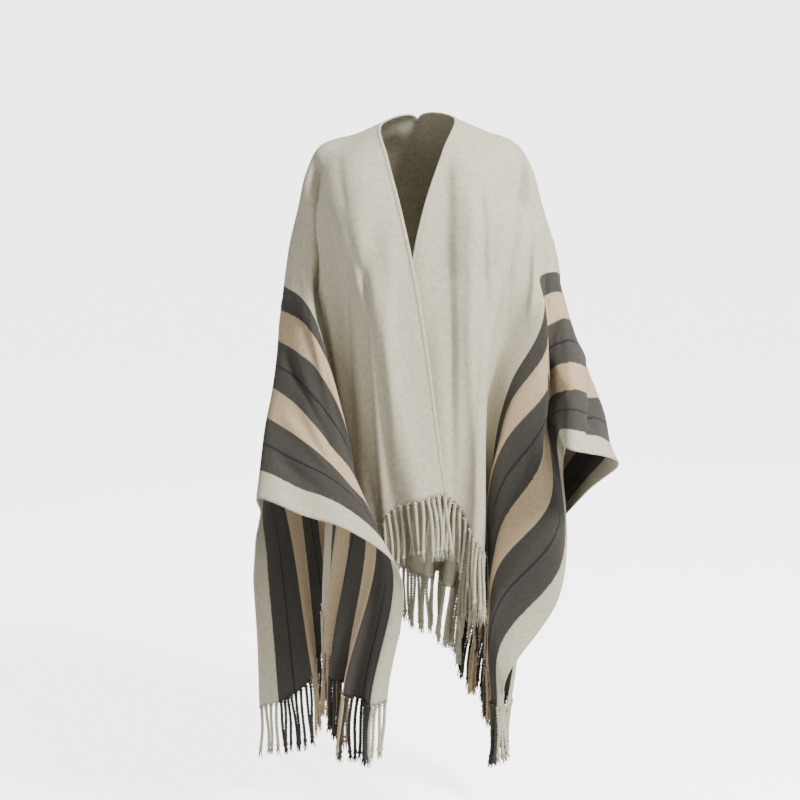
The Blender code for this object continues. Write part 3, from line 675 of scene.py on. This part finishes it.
def fringeTree(tuft):
    tree = newTree("twistedFringe", "GeometryNodeTree", [
        ("Geometry", "NodeSocketGeometry", None),
        ("Yarn", "NodeSocketFloat", 0.0014),
        ("Ply Offset", "NodeSocketFloat", 0.0011),
        ("Twist", "NodeSocketFloat", 0.009),
        ("Root Spread", "NodeSocketFloat", 0.002),
        ("Root Length", "NodeSocketFloat", 0.005),
        ("Step", "NodeSocketFloat", 0.003),
        ("Sides", "NodeSocketInt", 5),
        ("Knot Start", "NodeSocketFloat", 0.9),
        ("Knot Full", "NodeSocketFloat", 1.0),
        ("Knot Size", "NodeSocketFloat", 1.5),
        ("Tuft", "NodeSocketObject", None),
        ("Material", "NodeSocketMaterial", None),
        ("Seed", "NodeSocketInt", 1),
    ], [("Geometry", "NodeSocketGeometry")])
    make = nodeMaker(tree)
    given = make("NodeGroupInput").outputs
    paths = make("GeometryNodeMeshToCurve", {"Mesh": given["Geometry"]}).outputs["Curve"]
    fine = make("GeometryNodeResampleCurve", {"Curve": paths, "Length": given["Step"]}, mode="LENGTH")
    place = make("GeometryNodeSplineParameter").outputs
    phase = make("GeometryNodeInputNamedAttribute", {"Name": "phase"}, data_type="FLOAT")
    normal = make("GeometryNodeInputNormal").outputs["Normal"]
    tangent = make("GeometryNodeInputTangent").outputs["Tangent"]
    side = make("ShaderNodeVectorMath", {0: tangent, 1: normal}, operation="CROSS_PRODUCT")

    def maths(operation, a, b=0.0):
        return make("ShaderNodeMath", {0: a, 1: b}, operation=operation).outputs[0]

    turns = maths("DIVIDE", place["Length"], given["Twist"])
    angle = maths("ADD", maths("MULTIPLY", turns, 2 * math.pi), phase.outputs["Attribute"])
    # the yarns leave the hem a little apart
    farther = maths("DIVIDE", place["Length"], maths("MULTIPLY", given["Root Length"], -1.0))
    rootFade = maths("POWER", math.e, farther)
    away = maths("ADD", given["Ply Offset"], maths("MULTIPLY", given["Root Spread"], rootFade))
    # a thicker knot near the end
    knot = make("ShaderNodeMapRange", {"Value": place["Factor"], "From Min": given["Knot Start"],
                                       "From Max": given["Knot Full"], "To Min": 1.0,
                                       "To Max": given["Knot Size"]}, interpolation_type="SMOOTHSTEP")
    circle = make("GeometryNodeCurvePrimitiveCircle", {"Resolution": given["Sides"],
                                                       "Radius": given["Yarn"]}).outputs["Curve"]
    join = make("GeometryNodeJoinGeometry")
    for start in (0.0, math.pi):
        turned = maths("ADD", angle, start)
        parts = []
        for axis, wave in ((normal, "COSINE"), (side.outputs[0], "SINE")):
            size = maths("MULTIPLY", away, maths(wave, turned))
            parts.append(make("ShaderNodeVectorMath", {0: axis, "Scale": size},
                              operation="SCALE").outputs[0])
        offset = make("ShaderNodeVectorMath", {0: parts[0], 1: parts[1]}, operation="ADD")
        ply = make("GeometryNodeSetPosition", {"Geometry": fine.outputs["Curve"],
                                               "Offset": offset.outputs[0]})
        tube = make("GeometryNodeCurveToMesh", {"Curve": ply.outputs["Geometry"], "Profile Curve": circle,
                                                "Scale": knot.outputs["Result"], "Fill Caps": True})
        tree.links.new(tube.outputs["Mesh"], join.inputs["Geometry"])
    ends = make("GeometryNodeCurveEndpointSelection", {"Start Size": 0, "End Size": 1})
    aim = make("FunctionNodeAlignRotationToVector", {"Vector": tangent}, axis="Z")
    size = make("FunctionNodeRandomValue", {"Min": 0.8, "Max": 1.2, "Seed": given["Seed"]})
    tuftShape = make("GeometryNodeObjectInfo", {"Object": given["Tuft"]}).outputs["Geometry"]
    tufts = make("GeometryNodeInstanceOnPoints", {
        "Points": fine.outputs["Curve"], "Selection": ends.outputs["Selection"],
        "Instance": tuftShape, "Rotation": aim.outputs["Rotation"], "Scale": size.outputs[1]})
    tree.links.new(tufts.outputs["Instances"], join.inputs["Geometry"])
    real = make("GeometryNodeRealizeInstances", {"Geometry": join.outputs["Geometry"]})
    coloured = make("GeometryNodeSetMaterial", {"Geometry": real.outputs["Geometry"],
                                                "Material": given["Material"]})
    smoothed = make("GeometryNodeSetShadeSmooth", {"Geometry": coloured.outputs["Geometry"]})
    make("NodeGroupOutput", {"Geometry": smoothed.outputs["Geometry"]})
    return tree


# One loose tuft of cut yarn ends, pointing along +Z from its knot
def makeTuft():
    bm = bmesh.new()
    bmesh.ops.create_icosphere(bm, subdivisions=1, radius=fringe["knotRadius"])
    count = fringe["tuftHairs"]
    for k in range(count):
        turn = 2 * math.pi * k / count + 0.4 * math.sin(5 * k)
        spread = fringe["tuftSpread"] * (0.5 + 0.5 * math.sin(2.4 * k) ** 2)
        length = fringe["tuftLength"] * (0.8 + 0.2 * math.cos(3.1 * k))
        rings = []
        for t, radius in fringe["hairTaper"]:
            away = fringe["tuftRoot"] + spread * t**0.7
            middle = Vector((math.cos(turn) * away, math.sin(turn) * away, t * length))
            rings.append([bm.verts.new(middle + Vector((math.cos(a), math.sin(a), 0)) * radius)
                          for a in (0, 2.1, 4.2)])
        for low, high in zip(rings, rings[1:]):
            for i in range(3):
                bm.faces.new((low[i], low[(i + 1) % 3], high[(i + 1) % 3], high[i]))
        bm.faces.new(rings[-1])
    data = bpy.data.meshes.new("tuft")
    bm.to_mesh(data)
    bm.free()
    obj = bpy.data.objects.new("tuft", data)
    bpy.context.scene.collection.objects.link(obj)
    return obj


def makeFringe(name, half, sides, tree, tuft, material):
    paths, acrossOf, phases = [], [], []
    for side in sides:
        sign = -1 if side == "right" else 1
        count = round(halfWidth / fringe["pitch"])
        across = (np.arange(count) + 0.5) * halfWidth / count
        hem = np.full(across.shape, 4.0)
        root = clothPoints(half, side, across, hem)
        down = root - clothPoints(half, side, across, hem - 0.1)
        down /= np.linalg.norm(down, axis=-1, keepdims=True)
        out = outward(half, side, across, hem)
        wide = np.cross(down, out)
        for k in range(count):
            s = np.linspace(0, 1, fringe["pathPoints"])[:, None]
            wave = {key: k * value for key, value in strandWaves.items()}
            length = fringe["length"] * (1 + fringe["uneven"] * math.sin(wave["length"] + 3 * sign))
            lean = fringe["sway"] * (math.sin(wave["lean"] + sign) + 0.6 * math.sin(wave["slowLean"]))
            swing = fringe["sway"] * math.sin(wave["swing"] + 2 * sign) * 0.7
            way = down[k] + (np.array([0, 0, -1.0]) - down[k]) * fringe["plumb"] * s
            step = way / np.linalg.norm(way, axis=-1, keepdims=True) * length / (len(s) - 1)
            walked = np.concatenate([np.zeros((1, 3)), np.cumsum(step[1:], axis=0)])
            path = root[k] - down[k] * fringe["rootSink"] + walked
            path = path + wide[k] * lean * s**1.5 + out[k] * swing * s**1.5
            path = path + wide[k] * fringe["ripple"] * np.sin(5 * s + k)
            paths.append(path)
            acrossOf.append(across[k])
            phases.append(wave["turn"])
    source = addPaths(name, paths, {"across": acrossOf, "phase": phases})
    values = {"Yarn": fringe["yarn"], "Ply Offset": fringe["plyOffset"], "Twist": fringe["twist"],
              "Root Spread": fringe["rootSpread"], "Root Length": fringe["rootLength"],
              "Step": fringe["step"], "Sides": fringe["sides"], "Knot Start": fringe["knotStart"],
              "Knot Full": fringe["knotFull"], "Knot Size": fringe["knotSize"], "Tuft": tuft,
              "Material": material, "Seed": fringe["seed"]}
    return growMesh(source, tree, values, name)


# Rolled hem along both edges of the slit, and its line of stitches
slitHem = {
    "width": 0.0065,
    "thick": 0.0034,
    "overlap": 0.0008,
    "rows": {"back": 31, "front": 190},
    "corners": 10,
    "stitchLine": 0.0052,
    "stitchPitch": 0.0034,
    "stitchLength": 0.0024,
    "stitchThick": 0.00035,
    "stitchSink": 0.46,
}


# Places (half, along) down one edge of the slit, from the nape to the front hem
def slitPlaces():
    behind = [("back", t) for t in np.linspace(1.0, 0.0, slitHem["rows"]["back"])]
    ahead = [("front", t) for t in np.linspace(0.0, 4.0, slitHem["rows"]["front"])]
    return behind + ahead[1:]


def slitLine(side, across):
    return np.array([clothPoints(half, side, across, t) for half, t in slitPlaces()])


def slitNormals(side, across):
    return np.array([outward(half, side, np.array(across), np.array(t)) for half, t in slitPlaces()])


def makeSlitHem(side):
    edge, inner = slitLine(side, 0.0), slitLine(side, slitHem["width"])
    tangent = np.gradient(edge, axis=0)
    tangent /= np.linalg.norm(tangent, axis=-1, keepdims=True)
    inward = inner - edge
    inward -= tangent * np.sum(inward * tangent, axis=-1, keepdims=True)
    inward /= np.linalg.norm(inward, axis=-1, keepdims=True)
    out = np.cross(tangent, inward)
    bm = bmesh.new()
    lay = bm.loops.layers.uv.new("Cut")
    runs = np.concatenate([[0], np.cumsum(np.linalg.norm(np.diff(edge, axis=0), axis=-1))])
    rings = []
    for k in range(len(edge)):
        ring = []
        for i in range(slitHem["corners"]):
            turn = 2 * math.pi * i / slitHem["corners"]
            x = slitHem["width"] * 0.5 * (1 + math.copysign(abs(math.cos(turn)) ** 0.7, math.cos(turn)))
            z = slitHem["thick"] * 0.5 * math.copysign(abs(math.sin(turn)) ** 0.8, math.sin(turn))
            ring.append(bm.verts.new(edge[k] + inward[k] * (x - slitHem["overlap"]) + out[k] * z))
        rings.append(ring)
    sign = -1 if side == "right" else 1
    for k, (low, high) in enumerate(zip(rings, rings[1:])):
        for i in range(len(low)):
            j = (i + 1) % len(low)
            face = bm.faces.new((low[i], low[j], high[j], high[i]))
            for loop, (row, corner) in zip(face.loops, ((k, i), (k, i + 1), (k + 1, i + 1), (k + 1, i))):
                loop[lay].uv = (sign * corner * 0.001, runs[row])
    bm.faces.new(rings[0])
    bm.faces.new(rings[-1])
    bmesh.ops.recalc_face_normals(bm, faces=bm.faces)
    data = bpy.data.meshes.new(f"{side}SlitHem")
    bm.to_mesh(data)
    bm.free()
    data.shade_smooth()
    obj = bpy.data.objects.new(f"{side}SlitHem", data)
    bpy.context.scene.collection.objects.link(obj)
    return obj


# One stitch along its path's direction, repeated by the tree
def stitchTree():
    tree = newTree("stitches", "GeometryNodeTree", [
        ("Geometry", "NodeSocketGeometry", None),
        ("Pitch", "NodeSocketFloat", 0.003),
        ("Length", "NodeSocketFloat", 0.002),
        ("Thickness", "NodeSocketFloat", 0.0004),
        ("Material", "NodeSocketMaterial", None),
    ], [("Geometry", "NodeSocketGeometry")])
    make = nodeMaker(tree)
    given = make("NodeGroupInput").outputs
    path = make("GeometryNodeMeshToCurve", {"Mesh": given["Geometry"]}).outputs["Curve"]
    points = make("GeometryNodeCurveToPoints", {"Curve": path, "Length": given["Pitch"]}, mode="LENGTH")
    ball = make("GeometryNodeMeshUVSphere", {"Segments": 6, "Rings": 4, "Radius": 1.0}).outputs["Mesh"]
    half = make("ShaderNodeMath", {0: given["Length"], 1: 0.5}, operation="MULTIPLY").outputs[0]
    size = make("ShaderNodeCombineXYZ", {"X": given["Thickness"], "Y": given["Thickness"], "Z": half})
    stitches = make("GeometryNodeInstanceOnPoints", {
        "Points": points.outputs["Points"], "Instance": ball,
        "Rotation": points.outputs["Rotation"], "Scale": size.outputs["Vector"]})
    real = make("GeometryNodeRealizeInstances", {"Geometry": stitches.outputs["Instances"]})
    coloured = make("GeometryNodeSetMaterial", {"Geometry": real.outputs["Geometry"],
                                                "Material": given["Material"]})
    make("NodeGroupOutput", {"Geometry": coloured.outputs["Geometry"]})
    return tree


def makeStitches(material):
    paths = []
    for side in ("right", "left"):
        line = slitLine(side, slitHem["stitchLine"])
        normal = slitNormals(side, slitHem["stitchLine"])
        for face in (1, -1):
            paths.append(line + normal * face * slitHem["thick"] * slitHem["stitchSink"])
    source = addPaths("slitStitches", paths, {})
    return growMesh(source, stitchTree(), {
        "Pitch": slitHem["stitchPitch"], "Length": slitHem["stitchLength"],
        "Thickness": slitHem["stitchThick"], "Material": material}, "slitStitches")


# Colours of the yarns, and how much the brushed weave mixes them
yarns = {
    "cream": (0.385, 0.355, 0.262),
    "dark": (0.037, 0.034, 0.028),
    "tan": (0.350, 0.262, 0.162),
    "line": (0.012, 0.012, 0.016),
    "lineWidth": 0.0050,
    "edgeSoftness": 0.0016,
}
stripeYarn = {"cream": "cream", "dark1": "dark", "tan1": "tan", "dark2": "dark",
              "tan2": "tan", "dark3": "dark", "border": "cream"}
linedStripes = ("dark2", "dark3")


# Shader group: the stripe's colour at a place across the cloth
def stripeGroup():
    tree = newTree("stripes", "ShaderNodeTree", [
        ("Across", "NodeSocketFloat", 0.0),
        ("Softness", "NodeSocketFloat", 0.002),
    ], [("Colour", "NodeSocketColor")])
    make = nodeMaker(tree)
    given = make("NodeGroupInput").outputs
    across = make("ShaderNodeMath", {0: given["Across"]}, operation="ABSOLUTE").outputs[0]
    softness = given["Softness"]

    def over(edge):
        low = make("ShaderNodeMath", {0: edge, 1: softness}, operation="SUBTRACT").outputs[0]
        high = make("ShaderNodeMath", {0: edge, 1: softness}, operation="ADD").outputs[0]
        return make("ShaderNodeMapRange", {"Value": across, "From Min": low, "From Max": high},
                    interpolation_type="SMOOTHSTEP").outputs["Result"]

    def mixed(mask, a, b):
        made = make("ShaderNodeMix", {0: mask}, data_type="RGBA")
        for socket, value in ((made.inputs[6], a), (made.inputs[7], b)):
            if isinstance(value, bpy.types.NodeSocket):
                tree.links.new(value, socket)
            else:
                socket.default_value = (*value, 1)
        return made.outputs[2]

    colour = yarns["cream"]
    start = 0.0
    for name, width in cut["stripes"].items():
        if start:
            colour = mixed(over(start), colour, yarns[stripeYarn[name]])
        if name in linedStripes:
            middle = start + width / 2
            onto, off = over(middle - yarns["lineWidth"] / 2), over(middle + yarns["lineWidth"] / 2)
            line = make("ShaderNodeMath", {0: onto, 1: off}, operation="SUBTRACT").outputs[0]
            colour = mixed(line, colour, yarns["line"])
        start += width
    make("NodeGroupOutput", {"Colour": colour})
    return tree


weave = {"drawnOut": 0.14, "threadTone": 0.6, "threadHeight": 0.7}


# Shader group: a brushed weave, as a tone that mixes shades and a height for the bump
def weaveGroup():
    tree = newTree("brushedWeave", "ShaderNodeTree", [
        ("Vector", "NodeSocketVector", None),
        ("Thread", "NodeSocketFloat", 900.0),
        ("Nap", "NodeSocketFloat", 160.0),
    ], [("Tone", "NodeSocketFloat"), ("Height", "NodeSocketFloat")])
    make = nodeMaker(tree)
    given = make("NodeGroupInput").outputs

    def maths(operation, a, b=0.0):
        return make("ShaderNodeMath", {0: a, 1: b}, operation=operation).outputs[0]

    def streaks(along):
        scale = make("ShaderNodeVectorMath", {0: given["Vector"], 1: along}, operation="MULTIPLY")
        return make("ShaderNodeTexNoise", {"Vector": scale.outputs[0], "Scale": given["Thread"],
                                           "Detail": 2.0, "Roughness": 0.6}).outputs["Fac"]

    thin = weave["drawnOut"]
    warp, weft = streaks((1.0, thin, 1.0)), streaks((thin, 1.0, 1.0))
    nap = make("ShaderNodeTexNoise", {"Vector": given["Vector"], "Scale": given["Nap"],
                                      "Detail": 3.0, "Roughness": 0.55}).outputs["Fac"]
    threads = maths("ADD", maths("MULTIPLY", warp, 0.5), maths("MULTIPLY", weft, 0.5))

    def blended(share):
        return maths("ADD", maths("MULTIPLY", threads, share), maths("MULTIPLY", nap, 1 - share))

    tone, height = blended(weave["threadTone"]), blended(weave["threadHeight"])
    make("NodeGroupOutput", {"Tone": tone, "Height": height})
    return tree


stripesShader = stripeGroup()
weaveShader = weaveGroup()

finishes = {
    "cloth": {"thread": 620.0, "nap": 120.0, "depth": 0.0009, "shade": 0.26, "sheen": 0.10},
    "hem": {"thread": 620.0, "nap": 160.0, "depth": 0.0007, "shade": 0.26, "sheen": 0.10},
    "fringe": {"thread": 900.0, "nap": 300.0, "depth": 0.0004, "shade": 0.38, "sheen": 0.08},
}
wool = {"roughness": 0.92, "specular": 0.2, "sheenRoughness": 0.5, "sheenTint": (0.9, 0.87, 0.8, 1),
        "bump": 0.6, "edgeWander": 0.006, "toneLow": 0.3, "toneHigh": 0.7}


# Yarn-dyed wool-like cloth: stripes, heathered tone, brushed bump and a little sheen
def clothMaterial(name, source):
    finish = finishes[name]
    material = bpy.data.materials.new(f"{name}Yarn")
    material.use_nodes = True
    tree = material.node_tree
    make = nodeMaker(tree)
    shader = tree.nodes["Principled BSDF"]
    if source == "uv":
        vector = make("ShaderNodeUVMap", uv_map="Cut").outputs["UV"]
        across = make("ShaderNodeSeparateXYZ", {"Vector": vector}).outputs["X"]
    else:
        vector = make("ShaderNodeTexCoord").outputs["Object"]
        across = make("ShaderNodeAttribute", attribute_name="across").outputs["Fac"]
    woven = make("ShaderNodeGroup", node_tree=weaveShader)
    tree.links.new(vector, woven.inputs["Vector"])
    woven.inputs["Thread"].default_value = finish["thread"]
    woven.inputs["Nap"].default_value = finish["nap"]
    wander = make("ShaderNodeMath", {0: woven.outputs["Tone"], 1: 0.5}, operation="SUBTRACT").outputs[0]
    wander = make("ShaderNodeMath", {0: wander, 1: wool["edgeWander"]}, operation="MULTIPLY").outputs[0]
    around = make("ShaderNodeMath", {0: across}, operation="ABSOLUTE").outputs[0]
    around = make("ShaderNodeMath", {0: around, 1: wander}, operation="ADD").outputs[0]
    stripes = make("ShaderNodeGroup", node_tree=stripesShader)
    tree.links.new(around, stripes.inputs["Across"])
    stripes.inputs["Softness"].default_value = yarns["edgeSoftness"]
    low, high = 1 - finish["shade"], 1 + finish["shade"]
    tone = make("ShaderNodeMapRange", {"Value": woven.outputs["Tone"], "From Min": wool["toneLow"],
                                       "From Max": wool["toneHigh"], "To Min": low,
                                       "To Max": high}).outputs["Result"]
    colour = make("ShaderNodeVectorMath", {0: stripes.outputs["Colour"], "Scale": tone},
                  operation="SCALE").outputs[0]
    tree.links.new(colour, shader.inputs["Base Color"])
    bump = make("ShaderNodeBump", {"Height": woven.outputs["Height"], "Strength": wool["bump"],
                                   "Distance": finish["depth"]})
    tree.links.new(bump.outputs["Normal"], shader.inputs["Normal"])
    for socket, value in (("Roughness", wool["roughness"]), ("Specular IOR Level", wool["specular"]),
                          ("Sheen Weight", finish["sheen"]), ("Sheen Roughness", wool["sheenRoughness"]),
                          ("Sheen Tint", wool["sheenTint"])):
        shader.inputs[socket].default_value = value
    return material


# Camera at the photograph's angle: 3 m away, a little above the cape, looking 11 degrees down
view = {"place": (-0.0311, -3.0, 0.0899), "down": 11.0, "lens": 77.1, "sensor": 36}


def makeCamera():
    data = bpy.data.cameras.new("camera")
    data.lens = view["lens"]
    data.sensor_width = view["sensor"]
    camera = bpy.data.objects.new("camera", data)
    camera.location = view["place"]
    camera.rotation_euler = (math.radians(90 - view["down"]), 0, 0)
    bpy.context.scene.collection.objects.link(camera)
    bpy.context.scene.camera = camera


studio = {
    "floor": -1.30,
    "floorSize": 24,
    "floorColour": (0.93, 0.93, 0.92),
    "floorRoughness": 0.9,
    "aim": (0, 0, -0.5),
    "world": (1.0, 1.0, 1.0),
    "worldLight": 0.55,
    "seen": 4.0,  # how pale the camera sees the world and the floor behind the cape
    "lamps": (
        # name, place, width, watts
        ("key", (1.85, -1.7, 2.0), 0.7, 345.0),
        ("fill", (-2.2, -2.4, 0.8), 2.0, 18.0),
        ("rim", (0.5, 2.4, 1.4), 1.6, 20.0),
    ),
}


def makeStudio():
    bpy.ops.mesh.primitive_plane_add(size=studio["floorSize"], location=(0, 0, 0))
    floor = bpy.context.object
    floor.name = "floor"
    floor.data.transform(Matrix.Translation((0, 0, studio["floor"])))
    material = bpy.data.materials.new("palePaper")
    material.use_nodes = True
    shader = material.node_tree.nodes["Principled BSDF"]
    shader.inputs["Base Color"].default_value = (*studio["floorColour"], 1)
    shader.inputs["Roughness"].default_value = studio["floorRoughness"]
    shader.inputs["Emission Color"].default_value = (1, 1, 1, 1)
    make = nodeMaker(material.node_tree)
    seen = make("ShaderNodeLightPath").outputs["Is Camera Ray"]
    paler = studio["seen"] - studio["worldLight"]
    strength = make("ShaderNodeMath", {0: seen, 1: paler}, operation="MULTIPLY")
    material.node_tree.links.new(strength.outputs[0], shader.inputs["Emission Strength"])
    floor.data.materials.append(material)
    world = bpy.data.worlds.new("studio")
    world.use_nodes = True
    background = world.node_tree.nodes["Background"]
    background.inputs["Color"].default_value = (*studio["world"], 1)
    make = nodeMaker(world.node_tree)
    seen = make("ShaderNodeLightPath").outputs["Is Camera Ray"]
    strength = make("ShaderNodeMapRange", {"Value": seen, "To Min": studio["worldLight"],
                                           "To Max": studio["seen"]})
    world.node_tree.links.new(strength.outputs["Result"], background.inputs["Strength"])
    bpy.context.scene.world = world
    for name, spot, width, watts in studio["lamps"]:
        data = bpy.data.lights.new(name, "AREA")
        data.energy = watts
        data.size = width
        lamp = bpy.data.objects.new(name, data)
        lamp.location = spot
        way = Vector(studio["aim"]) - Vector(spot)
        lamp.rotation_euler = way.to_track_quat("-Z", "Y").to_euler()
        bpy.context.scene.collection.objects.link(lamp)


makeCamera()
makeStudio()

clothYarn = clothMaterial("cloth", "uv")
hemYarn = clothMaterial("hem", "uv")
fringeYarn = clothMaterial("fringe", "attribute")

cloth = makeCloth()
cloth.data.materials.append(clothYarn)
print("cape: cloth made")

hems = [makeSlitHem(side) for side in ("right", "left")]
for hem in hems:
    hem.data.materials.append(hemYarn)
stitches = makeStitches(hemYarn)
print("cape: slit hems made")

tuft = makeTuft()
strands = fringeTree(tuft)
fringes = [
    makeFringe("frontRightFringe", "front", ["right"], strands, tuft, fringeYarn),
    makeFringe("frontLeftFringe", "front", ["left"], strands, tuft, fringeYarn),
    makeFringe("backFringe", "back", ["right", "left"], strands, tuft, fringeYarn),
]
bpy.data.objects.remove(tuft)
print("cape: fringes made")

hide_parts("back", "right_front", "left_front")
for piece, node in zip(fringes, ("fringe_right_front", "fringe_left_front", "fringe_back")):
    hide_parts(node)
for piece in [cloth, stitches] + hems + fringes:
    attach(piece, "root")

print("cape: declared")
